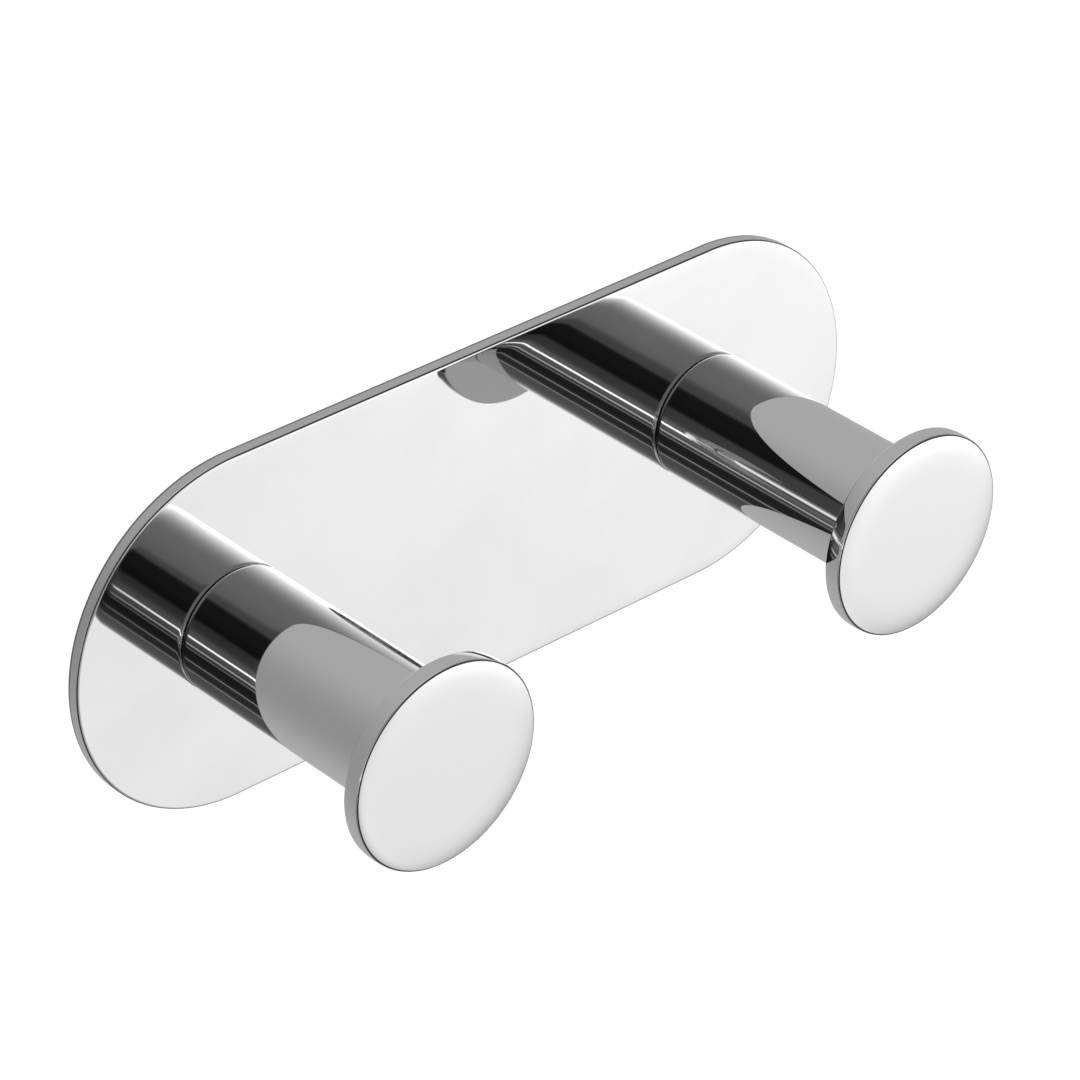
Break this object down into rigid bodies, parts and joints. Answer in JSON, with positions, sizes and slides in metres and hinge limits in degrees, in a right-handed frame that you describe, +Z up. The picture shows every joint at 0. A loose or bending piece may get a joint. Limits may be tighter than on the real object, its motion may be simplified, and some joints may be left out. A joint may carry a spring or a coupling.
{
  "type": "double wall hook",
  "caption": "Polished round-ended wall plate with capped cylindrical pegs for hanging towels and robes, stuck up by foam tape behind it.",
  "frame": {"origin": "middle of the back face of the tape, where the hook meets the wall", "axes": "+Y into the wall, +X along the plate to the right seen from the front, +Z up; the pegs point along -Y"},
  "size_m": [0.13, 0.0432, 0.05],
  "materials": {
    "polished_steel": "mirror polished stainless steel",
    "screw_steel": "plain stainless steel",
    "bush_nylon": "natural nylon",
    "tape_foam": "grey acrylic foam"
  },
  "bodies": {
    "root": {"back_plate": "polished_steel", "mounting_tape": "tape_foam", "left_sleeve": "polished_steel", "left_end_cap": "polished_steel", "left_centring_bush": "bush_nylon", "left_tie_screw": "screw_steel", "right_sleeve": "polished_steel", "right_end_cap": "polished_steel", "right_centring_bush": "bush_nylon", "right_tie_screw": "screw_steel"}
  },
  "joints": []
}
